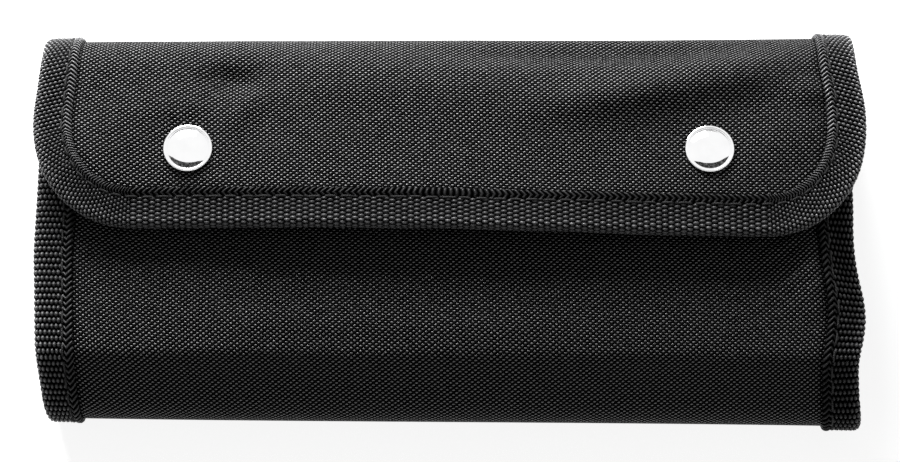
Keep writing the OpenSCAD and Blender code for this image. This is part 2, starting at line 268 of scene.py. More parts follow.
def cloth_points(x, s, depth):
    """Points in metres at places (x, s) of the cloth and depths below its outer face."""
    x, s, depth = np.broadcast_arrays(
        np.asarray(x, float), np.asarray(s, float), np.asarray(depth, float)
    )
    push = np.where(x < 0, smooth_curve(LEFT_SIDE, s), smooth_curve(RIGHT_SIDE, s))
    near_side = np.clip(np.abs(x) / HALF_W, 0, 1.1) ** 3
    hang = smooth_curve(EDGE_DROP, x) * step(MARKS[FLAP] - 8, FLAP_END, s)
    y, z = section_points(s + hang, depth - swell(x, s))
    sideways = x / HALF_W
    y = y + SKEW * (sideways + 0.7 * sideways**3) * (y - 10) / 60
    return np.stack([x + np.sign(x) * push * near_side, y, z], -1) * MM


# UV units to a millimetre
UV_SCALE = 0.01


def closed_sheet(name, outer, inner, uv, material, marks=(), sharp=40):
    """A closed thin piece from two grids of points, joined round their rim. marks are values
    for its material: shade, the light that reaches it, and narrow, by which a tape's knobs are
    thinner. Edges over sharp degrees stay sharp."""
    rows, columns = outer.shape[:2]
    count = rows * columns
    index = np.arange(count).reshape(rows, columns)
    faces = []
    top = np.stack([index[:-1, :-1], index[1:, :-1], index[1:, 1:], index[:-1, 1:]], -1)
    faces.extend(top.reshape(-1, 4).tolist())
    faces.extend((top[..., ::-1] + count).reshape(-1, 4).tolist())
    rim = np.concatenate([index[0, :], index[1:, -1], index[-1, -2::-1], index[-2:0:-1, 0]])
    for a, b in zip(rim, np.roll(rim, -1)):
        faces.append([int(a), int(b), int(b + count), int(a + count)])
    points = np.concatenate([outer.reshape(-1, 3), inner.reshape(-1, 3)])
    uv = np.concatenate([uv.reshape(-1, 2)] * 2)
    piece = make_piece(name, points, faces, uv, material, sharp)
    for mark, values in {"shade": np.ones(count), **dict(marks)}.items():
        layer = piece.data.attributes.new(mark, "FLOAT", "POINT")
        values = np.concatenate([np.ravel(values)] * 2)
        layer.data.foreach_set("value", values.astype(np.float32))
    return piece


def add_object(name, data):
    made = bpy.data.objects.new(name, data)
    bpy.context.scene.collection.objects.link(made)
    return made


def make_piece(name, points, faces, uv, material, sharp):
    """A piece from its mesh. uv is each point's place on the flat cloth, in mm."""
    mesh = bpy.data.meshes.new(name)
    mesh.from_pydata(points.tolist(), [], faces)
    mesh.materials.append(material)
    corners = np.zeros(len(mesh.loops), int)
    mesh.loops.foreach_get("vertex_index", corners)
    layer = mesh.uv_layers.new(name="cloth")
    flat = np.asarray(uv, float)[corners] * UV_SCALE
    layer.data.foreach_set("uv", flat.astype(np.float32).ravel())
    mesh.shade_smooth()
    mesh.set_sharp_from_angle(angle=math.radians(sharp))
    mesh.update()
    turn_out(mesh)
    return add_object(name, mesh)


def turn_out(mesh):
    """Turns all faces outwards, by the sign of the closed mesh's volume."""
    points = np.zeros(len(mesh.vertices) * 3)
    mesh.vertices.foreach_get("co", points)
    points = points.reshape(-1, 3)
    mesh.calc_loop_triangles()
    triangles = np.zeros(len(mesh.loop_triangles) * 3, int)
    mesh.loop_triangles.foreach_get("vertices", triangles)
    a, b, c = (points[triangles.reshape(-1, 3)[:, i]] for i in range(3))
    if (a * np.cross(b, c)).sum() < 0:
        mesh.flip_normals()


def unit(vectors):
    return vectors / np.linalg.norm(vectors, axis=-1, keepdims=True)


def between(low, high, share):
    return low + (high - low) * share


def lengths_to(hops):
    """The length from the first point to each, from those between neighbours."""
    return np.concatenate([[0], np.cumsum(hops)])


def spread(low, high, pitch):
    """Even places from low to high, about pitch apart."""
    return np.linspace(low, high, max(2, int(round((high - low) / pitch)) + 1))


def layer_piece(name, depths, ends, half, material, pitch=1.2):
    """A layer of the sheets, between two depths and two places, out to half its width."""
    s = spread(ends[0], ends[1], pitch)
    width = half(s) if callable(half) else np.full(len(s), half)
    x = spread(-1.0, 1.0, pitch / width.max())
    xs = x[None, :] * width[:, None]
    ss = np.repeat(s[:, None], len(x), 1)
    grids = [cloth_points(xs, ss, depth) for depth in depths]
    marks = {"shade": beside_tape(xs, ss)}
    return closed_sheet(name, *grids, wandered(xs, ss), material, marks)


# The share of light that reaches the bottom of the groove along the tape
GROOVE_LIGHT = 0.12


def beside_tape(x, s):
    """Light that reaches the cloth, which is less in the groove along the tape's inner edge."""
    radius = CORNER_R - TAPE_T
    over_x = np.maximum(np.abs(x) - (HALF_W - radius), 0)
    over_s = np.maximum(s - (FLAP_END - radius), 0)
    rounded_inset = radius - np.hypot(over_x, over_s)
    inset = HALF_W - np.abs(x)
    straight = np.minimum(inset, FLAP_END - s)
    flap_inset = np.where((over_x > 0) & (over_s > 0), rounded_inset, straight)
    inset = np.where(s > SPINE_MID, flap_inset, inset)
    return between(GROOVE_LIGHT, 1, step(TAPE_IN - 0.6, TAPE_IN + 1.3, inset))


class Graph:
    """A short way to write the nodes of a material or of the world, which is its data."""

    def __init__(self, name, world=False):
        self.data = (bpy.data.worlds if world else bpy.data.materials).new(name)
        self.data.use_nodes = True
        self.nodes, self.links = self.data.node_tree.nodes, self.data.node_tree.links
        self.shader = self.nodes["Background" if world else "Principled BSDF"]

    def node(self, kind, inputs=(), **settings):
        made = self.nodes.new(kind)
        for key, value in settings.items():
            setattr(made, key, value)
        for socket, value in dict(inputs).items():
            self.plug(made.inputs[socket], value)
        return made

    def plug(self, socket, value):
        if isinstance(value, bpy.types.NodeSocket):
            self.links.new(value, socket)
        else:
            socket.default_value = value

    def math(self, operation, *values):
        inputs = dict(enumerate(values))
        return self.node("ShaderNodeMath", inputs, operation=operation).outputs[0]

    def times(self, a, b):
        return self.math("MULTIPLY", a, b)

    def over(self, a, b):
        return self.math("DIVIDE", a, b)

    def plus(self, a, b):
        return self.math("ADD", a, b)

    def minus(self, a, b):
        return self.math("SUBTRACT", a, b)

    def scaled(self, a, b, c):
        """a times b, plus c."""
        return self.math("MULTIPLY_ADD", a, b, c)

    def size(self, a):
        """a without its sign."""
        return self.math("ABSOLUTE", a)

    def floor(self, a):
        return self.math("FLOOR", a)

    def uv(self):
        """Places on the flat cloth, in mm."""
        flat = self.node("ShaderNodeUVMap", uv_map="cloth").outputs[0]
        split = self.node("ShaderNodeSeparateXYZ", {0: flat})
        scale = 1 / UV_SCALE
        return [self.times(split.outputs[i], scale) for i in (0, 1)]

    def mark(self, name):
        """A value that closed_sheet() keeps for each point."""
        return self.node("ShaderNodeAttribute", attribute_name=name).outputs["Fac"]

    def seen(self):
        """1 for rays from the camera and from mirroring metal, 0 for others."""
        path = self.node("ShaderNodeLightPath").outputs
        return self.math("MAXIMUM", path["Is Camera Ray"], path["Is Glossy Ray"])

    def join(self, x, y, z=0.0):
        return self.node("ShaderNodeCombineXYZ", {0: x, 1: y, 2: z}).outputs[0]

    def place(self):
        return self.node("ShaderNodeTexCoord").outputs["Object"]

    def noise(self, vector, scale, detail=2.0, rough=0.5):
        inputs = {"Vector": vector, "Scale": scale, "Detail": detail, "Roughness": rough}
        return self.node("ShaderNodeTexNoise", inputs).outputs["Fac"]

    def white(self, vector):
        return self.node("ShaderNodeTexWhiteNoise", {"Vector": vector}).outputs["Value"]

    def ramp(self, fac, stops):
        made = self.node("ShaderNodeValToRGB", {0: fac})
        band = made.color_ramp
        while len(band.elements) < len(stops):
            band.elements.new(0.5)
        for element, (at, colour) in zip(band.elements, stops):
            element.position = at
            element.color = (*colour, 1)
        return made.outputs[0]

    def remap(self, value, low, high, to_low, to_high):
        inputs = {0: value, 1: low, 2: high, 3: to_low, 4: to_high}
        return self.node("ShaderNodeMapRange", inputs).outputs[0]

    def tint(self, colour, factor):
        """A colour made lighter or darker by a factor."""
        inputs = {0: 1.0, 6: colour, 7: self.join(factor, factor, factor)}
        made = self.node("ShaderNodeMix", inputs, data_type="RGBA", blend_type="MULTIPLY")
        return made.outputs[2]

    def bump(self, height, distance):
        inputs = {"Height": height, "Distance": distance, "Strength": 1.0}
        normal = self.node("ShaderNodeBump", inputs).outputs[0]
        self.links.new(normal, self.shader.inputs["Normal"])

    def set(self, **values):
        for key, value in values.items():
            self.plug(self.shader.inputs[key.replace("_", " ")], value)


# The webbing's knobs: distances along and across the tape, the share that a knob fills of
# each, their height, and the power that rounds them
KNOB, KNOB_FILL, KNOB_H, KNOB_ROUND = (1.86, 1.4), (0.58, 0.49), 0.9, 0.55
# The selvedge's width, the middle and half width of its bent strokes, how far they slant, and
# the length over which they start to
SELVEDGE = 2.7
STROKE_MIDDLE, STROKE_REACH, STROKE_SLANT, STROKE_GROW = 1.85, 1.85, 0.55, 30.0
# How far the tape's fold stands in front of the cloth's edge, and the tape's flat width
NOSE = 2.5
TAPE_FLAT = 2 * TAPE_IN + math.pi * (LAYERS / 2 + TAPE_T) - 2 * (NOSE - TAPE_T)


def tape_relief(run, across, narrow=0.0):
    """How far the tape's knobs stand out, in mm, over its middle surface."""
    across = TAPE_FLAT / 2 - np.abs(across - TAPE_FLAT / 2)
    u = run / KNOB[0]
    v = across / KNOB[1] + 0.5 * (np.floor(u) % 2)
    knob = 0
    for a, b in ((u % 1 - 0.5, v % 1 - 0.5), (1 - np.abs(u % 1 - 0.5), (v + 0.5) % 1 - 0.5)):
        round_out = 1 - (a * (1 + narrow) / KNOB_FILL[0]) ** 2 - (b / KNOB_FILL[1]) ** 2
        knob = np.maximum(knob, np.maximum(round_out, 0) ** KNOB_ROUND)
    off_middle = STROKE_REACH - np.abs(np.abs(across - STROKE_MIDDLE) - STROKE_REACH)
    lean = STROKE_SLANT * np.clip(np.abs(run) / STROKE_GROW, 0, 1)
    stroke = 0.5 + 0.5 * np.cos((u + off_middle * lean) * 2 * math.pi)
    high = np.where(across < SELVEDGE, stroke * 0.6 + 0.3, knob) - 0.6
    bead = np.exp(-((across - SELVEDGE / 2) / 1.1) ** 2) * 0.3
    valley = np.exp(-((across - SELVEDGE - 0.3) / 0.5) ** 2) * 0.3
    hem = np.exp(-(across / 0.35) ** 2) * 0.4
    pressed = 1 - 0.5 * step(TAPE_FLAT / 2 - 2.5, TAPE_FLAT / 2 - 0.5, across)
    return high * KNOB_H * pressed + bead - valley - hem


# On the left the weft runs off the straight grain, by this much
OFF_GRAIN = 0.13


def wandered(x, s):
    """Flat places on a cloth, with the slow waver of a real weave."""
    x, s = np.broadcast_arrays(x, s)
    aside = 0.5 * np.sin(s / 29.0 + x / 61.0 + 1.0) + 0.3 * np.sin(s / 13.0 - x / 37.0)
    down = 0.6 * np.sin(x / 47.0 + 0.6) + 0.35 * np.sin(x / 21.0 + s / 33.0)
    down -= OFF_GRAIN * (x - 60 * np.logaddexp(0, (x + 20) / 60))
    return np.stack([x + aside, s + down], -1)


def ribbon(travel, run):
    """Flat places on a tape or a strap."""
    return np.stack(np.broadcast_arrays(travel, run), -1)


def grey(value):
    return np.array((value, value, value * 1.03))


def every_other(g, value):
    """Distance, -1 to 1, from the nearest even number."""
    turns = g.math("FRACT", g.scaled(value, 0.5, 0.5))
    return g.scaled(turns, 2.0, -1.0)


def centred(g, value):
    return g.minus(g.math("FRACT", value), 0.5)


def rounded(g, along_it, across_it, length, width, power=0.5):
    """Height of a rounded float of yarn, 1 at its middle and 0 at its outline."""
    a = g.math("POWER", g.over(along_it, length), 2.0)
    b = g.math("POWER", g.over(across_it, width), 2.0)
    inside = g.minus(g.minus(1.0, a), b)
    return g.math("POWER", g.math("MAXIMUM", inside, 0.0), power)


def woven(name, pitch, dark, light, rough, depth, warp_share=0.45, slant=0.16):
    """Plain-woven nylon. pitch is the distance from yarn to yarn in mm, across and down.
    The weft's floats are fuller than the warp's, and the warp's are painted darker, as the light
    falls along them."""
    g = Graph(name)
    x, s = g.uv()
    u, v = g.over(x, pitch[0]), g.over(s, pitch[1])
    row, column = g.floor(v), g.floor(u)
    past = g.minus(g.minus(u, 0.5), row)
    on_weft = every_other(g, past)
    on_warp = every_other(g, g.minus(g.minus(v, 1.5), column))
    tilted = g.scaled(on_weft, slant, centred(g, v))
    weft = rounded(g, on_weft, tilted, 0.62, 0.4)
    warp = g.times(rounded(g, on_warp, centred(g, u), 0.66, 0.38), warp_share)
    height = g.math("MAXIMUM", weft, warp)
    strand = g.white(g.join(row, g.floor(g.scaled(past, 0.5, 0.5))))
    fibres = g.noise(g.join(g.times(u, 0.8), g.times(v, 6.0)), 1.0, 2.0)
    # Painted shade: the colour darkens from the floats' tops into the gaps between the yarns, and
    # the lower warp floats get more of it
    shade = g.ramp(height, [(0.1, dark), (0.5, 0.14 * light), (0.8, 0.5 * light), (1, light)])
    gain = g.times(g.remap(strand, 0, 1, 0.6, 1.4), g.remap(fibres, 0.3, 0.7, 0.8, 1.2))
    wear = g.noise(g.place(), 22.0, 5.0, 0.6)
    gain = g.times(gain, g.remap(wear, 0.3, 0.7, 0.85, 1.15))
    light_in = g.mark("shade")
    g.set(Base_Color=g.tint(shade, g.times(gain, light_in)))
    gloss = g.times(g.remap(height, 0.45, 1.0, 0.0, 1.0), light_in)
    g.set(Specular_IOR_Level=gloss)
    g.set(Roughness=g.remap(strand, 0.0, 1.0, rough - 0.08, rough + 0.1))
    g.bump(g.scaled(fibres, 0.12, height), depth * MM)
    return g.data


def webbing(name, dark, light, rough):
    """Binding tape. u runs along it, v across from one selvedge to the other. The knobs and
    the selvedge's slanted strokes are those of tape_relief()."""
    g = Graph(name)
    run, across = g.uv()
    half = TAPE_FLAT / 2
    across = g.minus(half, g.size(g.minus(across, half)))
    u = g.over(run, KNOB[0])
    column = g.floor(u)
    shift = g.math("FRACT", g.times(column, 0.5))
    v = g.plus(g.over(across, KNOB[1]), shift)
    narrow = g.plus(g.mark("narrow"), 1.0)
    own_u = g.times(centred(g, u), narrow)
    next_u = g.times(g.minus(1.0, g.size(centred(g, u))), narrow)
    next_v = centred(g, g.plus(v, 0.5))
    knob = rounded(g, own_u, centred(g, v), *KNOB_FILL, KNOB_ROUND)
    knob = g.math("MAXIMUM", knob, rounded(g, next_u, next_v, *KNOB_FILL, KNOB_ROUND))
    off_middle = g.size(g.minus(g.size(g.minus(across, STROKE_MIDDLE)), STROKE_REACH))
    off_middle = g.minus(STROKE_REACH, off_middle)
    lean = g.remap(g.size(run), 0.0, STROKE_GROW, 0.0, STROKE_SLANT)
    turns = g.scaled(off_middle, lean, u)
    stroke = g.scaled(g.math("COSINE", g.times(turns, 2 * math.pi)), 0.5, 0.42)
    on_edge = g.math("LESS_THAN", across, SELVEDGE)
    height = g.node("ShaderNodeMix", {0: on_edge, 2: knob, 3: stroke}).outputs[0]
    each = g.white(g.join(column, g.floor(v)))
    twist = g.noise(g.join(g.times(u, 2.0), g.times(v, 7.0)), 1.0, 2.0)
    # Painted shade: the colour darkens from the knobs' and strokes' tops into the gaps between them
    shade = g.ramp(height, [(0.06, dark), (0.3, 0.35 * light), (0.6, 0.8 * light), (1, light)])
    gain = g.times(g.remap(each, 0, 1, 0.85, 1.15), g.remap(twist, 0.3, 0.7, 0.8, 1.2))
    wear = g.remap(g.noise(g.place(), 30.0, 5.0, 0.6), 0.3, 0.7, 0.85, 1.15)
    # Light and shade painted into the tape's colour and gloss, kept for each point
    painted_light = g.mark("shade")
    gain = g.times(g.times(gain, wear), painted_light)
    g.set(Base_Color=g.tint(shade, gain))
    g.set(Specular_IOR_Level=g.times(g.remap(height, 0.3, 1.0, 0.0, 0.4), painted_light))
    g.set(Roughness=g.remap(each, 0.0, 1.0, rough - 0.05, rough + 0.1))
    g.bump(g.scaled(twist, 0.1, height), 0.35 * MM)
    return g.data


def thread_material():
    g = Graph("thread")
    along_thread, round_thread = g.uv()
    turn = g.plus(g.times(along_thread, 9.0), round_thread)
    twist = g.math("SINE", turn)
    shade = g.ramp(g.scaled(twist, 0.5, 0.5), [(0, grey(0.005)), (1, grey(0.03))])
    g.set(Base_Color=shade, Roughness=0.55, Specular_IOR_Level=0.25)
    g.bump(twist, 0.06 * MM)
    return g.data


def metal_material(name, colour, rough, scratch, brush):
    """Plated metal, with fine scratches and a little smear in its gloss."""
    g = Graph(name)
    smear = g.noise(g.place(), 180.0, 4.0, 0.6)
    lines = g.node("ShaderNodeMapping", {0: g.place(), 3: (brush, 2500.0, 2500.0)}).outputs[0]
    fine = g.noise(lines, 1.0, 2.0)
    g.set(Metallic=1.0, Roughness=g.remap(smear, 0.3, 0.7, rough * 0.7, rough * 1.4))
    g.set(Base_Color=g.tint(colour, g.remap(smear, 0.2, 0.8, 0.94, 1.02)))
    g.bump(fine, scratch * MM)
    return g.data


def plain_grain(name, colour, scale, rough, depth):
    """Board or foam: a matt surface with a fine grain."""
    g = Graph(name)
    cells = g.node("ShaderNodeTexVoronoi", {"Vector": g.place(), "Scale": scale}).outputs[0]
    cloud = g.noise(g.place(), scale * 0.08, 4.0)
    gain = g.times(g.remap(cells, 0, 1, 0.8, 1.1), g.remap(cloud, 0.3, 0.7, 0.9, 1.1))
    g.set(Base_Color=g.tint(colour, gain), Roughness=g.remap(cloud, 0, 1, rough - 0.1, rough + 0.1))
    g.bump(cells, depth * MM)
    return g.data


def elastic_material():
    """Woven elastic: fine ribs along it, crossed by rows of rubber cord."""
    g = Graph("elastic")
    x, s = g.uv()
    rib = g.math("COSINE", g.times(x, 2 * math.pi / 1.1))
    row = g.math("COSINE", g.times(s, 2 * math.pi / 0.7))
    height = g.plus(g.times(rib, 0.5), g.times(row, 0.3))
    level = g.remap(height, -0.8, 0.8, 0.0, 1.0)
    wear = g.remap(g.noise(g.place(), 40.0, 4.0), 0.3, 0.7, 0.85, 1.15)
    shade = g.ramp(level, [(0.1, grey(0.006)), (0.9, grey(0.035))])
    g.set(Base_Color=g.tint(shade, wear), Roughness=0.6, Sheen_Weight=0.2, Sheen_Roughness=0.5)
    g.bump(level, 0.2 * MM)
    return g.data


DARK = grey(0.0012)
OUTER = woven("outer_cloth", (0.92, 0.76), DARK, grey(0.112), rough=0.36, depth=0.34)
LINING = woven(
    "lining_cloth", (0.45, 0.45), grey(0.008), grey(0.09),
    rough=0.5, depth=0.12, warp_share=0.9, slant=0.0,
)
TAPE = webbing("binding_tape", DARK, grey(0.062), rough=0.34)
THREAD = thread_material()
POLISHED = metal_material(
    "polished_metal", (0.98, 0.98, 0.985, 1), rough=0.035, scratch=0.0004, brush=400.0
)
PLATED = metal_material(
    "plated_metal", (0.62, 0.62, 0.63, 1), rough=0.25, scratch=0.006, brush=200.0
)
BOARD = plain_grain("board", (0.3, 0.3, 0.3, 1), scale=900.0, rough=0.6, depth=0.05)
FOAM = plain_grain("foam", (0.12, 0.12, 0.13, 1), scale=1600.0, rough=0.85, depth=0.15)
ELASTIC = elastic_material()

# The tape's stations are six to a knob
TAPE_PITCH = KNOB[0] / 6
# How much lighter the tape's fold is painted, a painted highlight where light from the front falls
NOSE_LIGHT = 0.6
# On the flap's sides the knobs are closer, their rows slant outwards and they get more light
SIDE_CLOSER, SIDE_SLANT, SIDE_BRIGHT = 1.36, 0.38, 2.3
# Light on the case's left and right tape and on the flap's lower tape
LEFT_BRIGHT, RIGHT_BRIGHT, LOWER_BRIGHT = 1.5, 0.7, 0.9


def tape_profile():
    """The folded tape in section: for each point its inset from the cloth's edge, its depth,
    the run across the tape, and which way is out, as far as inset and depth go."""
    radius, bend = LAYERS / 2 + TAPE_T, NOSE - TAPE_T
    leg = np.append(np.arange(TAPE_IN, bend + 0.1, -KNOB[1] / 6), bend)
    inner_leg = spread(bend, TAPE_IN, KNOB[1] / 4)
    turned = np.radians(spread(0, 180, 6))[1:-1]
    angle = np.concatenate([0 * leg, turned, 0 * inner_leg + math.pi])
    out_w, out_d = -np.sin(angle), -np.cos(angle)
    inset = np.concatenate([leg, bend + 0 * turned, inner_leg]) + radius * out_w
    run = [TAPE_IN - leg, TAPE_IN - bend + radius * turned, TAPE_FLAT - TAPE_IN + inner_leg]
    return inset, LAYERS / 2 + radius * out_d, np.concatenate(run), out_w, out_d


def folded_tape(name, edge, extra=0.0, slant=0.0, bright=1.0, narrow=0.0, selvedge_light=1.0):
    """Tape folded over an edge of the cloth. edge gives each station's place (x, s), inward
    direction and run along the tape. extra thickens the inner leg, slant leans the rows of
    knobs, bright is the light painted into their colour and the last argument the selvedges'
    share of that painted light."""
    extra, slant, bright, narrow, selvedge_light = (
        np.reshape(part, (-1, 1)) for part in (extra, slant, bright, narrow, selvedge_light)
    )
    inset, depth, run, out_w, out_d = (part[None, :] for part in tape_profile())
    ex, es, nx, ns, travel = (np.asarray(part, float)[:, None] for part in edge)
    more = extra * step(0.0, LAYERS, depth)
    flat = ribbon(travel + slant * np.clip(run, SELVEDGE, TAPE_FLAT - SELVEDGE), run)
    relief = tape_relief(flat[..., 0], flat[..., 1], narrow)
    grids = []
    for off in (relief, relief * 0 - TAPE_T):
        w, d = inset + out_w * off, depth + more + out_d * off
        grids.append(cloth_points(ex + nx * w, es + ns * w, d))
    on_selvedge = np.abs(run - TAPE_FLAT / 2) > TAPE_FLAT / 2 - SELVEDGE
    # Painted light and shade: the fold's painted highlight, times bright, and on the selvedges
    # times their share
    shade = painted_nose_light(run) * bright * np.where(on_selvedge, selvedge_light, 1.0) + 0 * relief
    marks = {"shade": shade, "narrow": narrow + 0 * relief}
    return closed_sheet(name, *grids, flat, TAPE, marks, 120)


def painted_nose_light(run):
    """A painted highlight: the tape's colour is a little lighter on its fold, where light from the
    front falls.
    """
    return 1 + NOSE_LIGHT * step(7.5, 10.5, run) * (1 - step(15, 18, run))


def knob_steps(edge, mirror=False):
    """The same edge with its run counted in knobs, so that each is cut at the same places.
    With mirror it is counted both ways from its middle."""
    count = np.arange(len(edge[0])) * TAPE_PITCH
    if mirror:
        count = np.abs(count - (len(count) // 2) * TAPE_PITCH) + KNOB[0] / 2
    return (*edge[:4], count * np.sign(edge[4][-1] - edge[4][0]))


def side_edge(side, low, high):
    s = spread(low, high, TAPE_PITCH)
    return 0 * s + side * HALF_W, s, 0 * s - side, 0 * s, -side * s


def flap_edge():
    """The flap's edge, from the middle of the spine on the right, round to the left."""
    radius = CORNER_R - TAPE_T
    corner_x, corner_s = HALF_W - radius, FLAP_END - radius
    close = TAPE_PITCH / SIDE_CLOSER
    right = [(HALF_W, s, -1.0, 0.0) for s in spread(SPINE_MID, corner_s, close)[:-1]]
    for a in np.radians(spread(0, 90, math.degrees(close / radius)))[:-1]:
        c, k = math.cos(a), math.sin(a)
        right.append((corner_x + radius * c, corner_s + radius * k, -c, -k))
    bottom = [(x, FLAP_END, 0.0, -1.0) for x in spread(corner_x, -corner_x, -TAPE_PITCH)]
    left = [(-x, s, -way_x, way_s) for x, s, way_x, way_s in right[::-1]]
    x, s, way_x, way_s = np.array(right + bottom + left).T
    hops = np.hypot(np.diff(x + way_x * 4), np.diff(s + way_s * 4))
    return x, s, way_x, way_s, lengths_to(hops)


def mouth_edge():
    end = WALL_X - GUSSET_T
    x = spread(-end, end, TAPE_PITCH)
    return x, 0 * x, 0 * x, 0 * x + 1, x


# Stitches: their length, the gap between two, the thread's radius, how far they rise from end
# to end, and how far the seam lies from the edge
STITCH, STITCH_GAP, THREAD_R = 3.7, 1.3, 0.26
RISE = np.array([-0.5, 0.12, 0.26, 0.3, 0.26, 0.12, -0.5])
SEAM_INSET = TAPE_IN - SELVEDGE - 0.35


def stitch_row(name, length, places, rng):
    """A row of lockstitches. places(t, rise, sway) gives points in metres, t along the row."""
    count = int(length // (STITCH + STITCH_GAP))
    rings, sides = len(RISE), 8
    a = 2 * math.pi * np.arange(sides) / sides
    points, faces, uvs = [], [], []
    for k in range(count):
        start = (k + 0.5) * length / count - STITCH / 2 + rng.uniform(-0.25, 0.25)
        line = places(np.linspace(start, start + STITCH, rings), RISE, rng.uniform(-0.12, 0.12))
        ahead = unit(np.gradient(line, axis=0))[:, None]
        aside = unit(np.cross(ahead, (0.0, 0.3, 1.0)))
        above = np.cross(aside, ahead)
        out = aside * np.cos(a)[:, None] * 1.25 + above * np.sin(a)[:, None]
        points.append((line[:, None] + THREAD_R * MM * out).reshape(-1, 3))
        uvs += [(k * STITCH + i, angle) for i in range(rings) for angle in a]
        ring = np.arange(sides) + k * rings * sides
        for i in range(rings - 1):
            one, two = ring + i * sides, np.roll(ring, -1) + i * sides
            faces += np.stack([one, two, two + sides, one + sides], 1).tolist()
        faces += [ring[::-1].tolist(), (ring + (rings - 1) * sides).tolist()]
    return make_piece(name, np.concatenate(points), faces, uvs, THREAD, 60)


def seam(edge, depth_at, outside):
    """The length of a seam beside a tape's selvedge, and the function for its places."""
    ex, es, nx, ns, travel = (np.asarray(part, float) for part in edge)

    def places(t, rise, sway):
        t, stations = t + travel.min(), np.argsort(travel)
        at = [np.interp(t, travel[stations], part[stations]) for part in (ex, es, nx, ns)]
        w = SEAM_INSET + sway
        x, s = at[0] + at[2] * w, at[1] + at[3] * w
        depth = depth_at - rise if outside else depth_at + rise
        return cloth_points(x, s, depth)

    return abs(travel[-1] - travel[0]), places


def sew(name, outer_edge, inner_edge, attach, rng):
    """The outer and the inner row of stitches that hold a tape."""
    rows = (("out", outer_edge, -TAPE_T, True), ("in", inner_edge, LAYERS + TAPE_T, False))
    for word, edge, depth, outside in rows:
        row = stitch_row(name.format(word), *seam(edge, depth, outside), rng)
        attach(row)


# How far the cloth ends inside the fold of its tape
EDGE_TRIM = 1.2
HALF_CLOTH = HALF_W - EDGE_TRIM


def flap_half(s, trim=EDGE_TRIM):
    """Half the flap's width at places along the path, with its rounded corners."""
    radius = CORNER_R - TAPE_T - trim
    into = np.clip(s - (FLAP_END - trim - radius), 0, radius)
    return HALF_W - trim - radius + np.sqrt(radius**2 - into**2)


def board_half(s):
    return flap_half(s, BOARD_INSET)


def blend_back(piece):
    """Bakes the piece's place into its mesh."""
    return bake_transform(piece)


def blend_front(piece):
    """Bakes the piece's place into its mesh."""
    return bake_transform(piece)


def on_case(piece):
    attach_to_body(piece, "case")


def on_flap(piece):
    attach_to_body(piece, "flap")


def build_sheets(body, ends, half, blend, outer_nodes, lining_nodes):
    """The outer cloth and the lining of the case or the flap."""
    for name, depths, material, pitch, slot, nodes in (
        ("outer", (0, FABRIC_T), OUTER, 1.0, "outer_fabric", outer_nodes),
        ("lining", (LAYERS - LINING_T, LAYERS), LINING, 1.8, "lining_fabric", lining_nodes),
    ):
        piece = layer_piece(f"{body}_{name}_cloth", depths, ends, half, material, pitch)
        blend(piece)
        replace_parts(piece, *nodes)


def build_case_sheets():
    build_sheets(
        "case", (EDGE_TRIM, SPINE_MID), HALF_CLOTH, blend_back,
        ("outer_shell", "spine_outer"),
        ("case_lining", "spine_lining"),
    )


def build_flap_sheets():
    ends = (SPINE_MID, FLAP_END - EDGE_TRIM)
    build_sheets(
        "flap", ends, flap_half, blend_front,
        ("flap_outer",), ("flap_lining",),
    )


# The front's stiffener ends this much further from the mouth than the others from their edges
MOUTH_CLEAR = 6.0


def build_cores():
    depths = (FABRIC_T + 0.02, FABRIC_T + CORE_T - 0.02)
    half = HALF_W - BOARD_INSET
    for name, ends, width, attach, node in (
        ("front_stiffener", (BOARD_INSET + MOUTH_CLEAR, MARKS[CREASE]), half, on_case,
         "front_board"),
        ("flap_stiffener", (MARKS[FLAP], FLAP_END - BOARD_INSET), board_half, on_flap,
         "flap_core"),
    ):
        board = layer_piece(name, depths, ends, width, BOARD, 2.0)
        attach(board)
        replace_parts(board, node)
    foams = {
        "crease_foam": (MARKS[CREASE] + 0.1, MARKS[BASE] - 0.1),
        "fold_foam": (MARKS[FOLD] + 0.1, MARKS[BACK] - 0.1),
        "top_foam_back": (MARKS[TOP_BACK] + 0.1, SPINE_MID),
        "top_foam_front": (SPINE_MID, MARKS[FLAP] - 0.1),
    }
    for name, ends in foams.items():
        foam = layer_piece(name, depths, ends, half, FOAM, 1.5)
        if name == "top_foam_back":
            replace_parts(blend_back(foam), "spine_foam")
        elif name == "top_foam_front":
            blend_front(foam)
        else:
            on_case(foam)
            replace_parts(foam, "bend_foam")


# The gussets: how far they draw in at their middle, how high they ripple, and how far their
# ends and their flanges stay inside the tapes' edges
GUSSET_DRAW, GUSSET_RIPPLE, GUSSET_TRIM, FLANGE_TRIM = 3.2, 0.35, 1.0, 1.5
FOLD_MID = (MARKS[FOLD] + MARKS[BACK]) / 2


def gusset_surface(side, t):
    """Middle surface of a gusset with its two flanges, in mm, t from its free edge inwards."""
    front_s = GUSSET_TRIM + t * (FOLD_MID - GUSSET_TRIM)
    back_s = GUSSET_END - GUSSET_TRIM - t * (GUSSET_END - GUSSET_TRIM - FOLD_MID)
    front = cloth_points(side * WALL_X, front_s, LAYERS) / MM
    back = cloth_points(side * WALL_X, back_s, LAYERS) / MM
    flange = side * (WALL_X + spread(0, TAPE_IN - FLANGE_TRIM, 1.2))
    depth = LAYERS + GUSSET_T / 2
    rows = [cloth_points(x, front_s, depth) / MM for x in flange[::-1]]
    for r in spread(0, 1, 0.04)[1:-1]:
        line = front * (1 - r) + back * r
        drawn = GUSSET_DRAW * math.sin(math.pi * r) ** 1.5 * (1 - t**2)
        ripple = GUSSET_RIPPLE * np.sin(t * 31 + 5 * r + side) * math.sin(math.pi * r)
        line[:, 0] -= side * (GUSSET_T / 2 + drawn + ripple)
        rows.append(line)
    rows += [cloth_points(x, back_s, depth) / MM for x in flange]
    return np.array(rows)


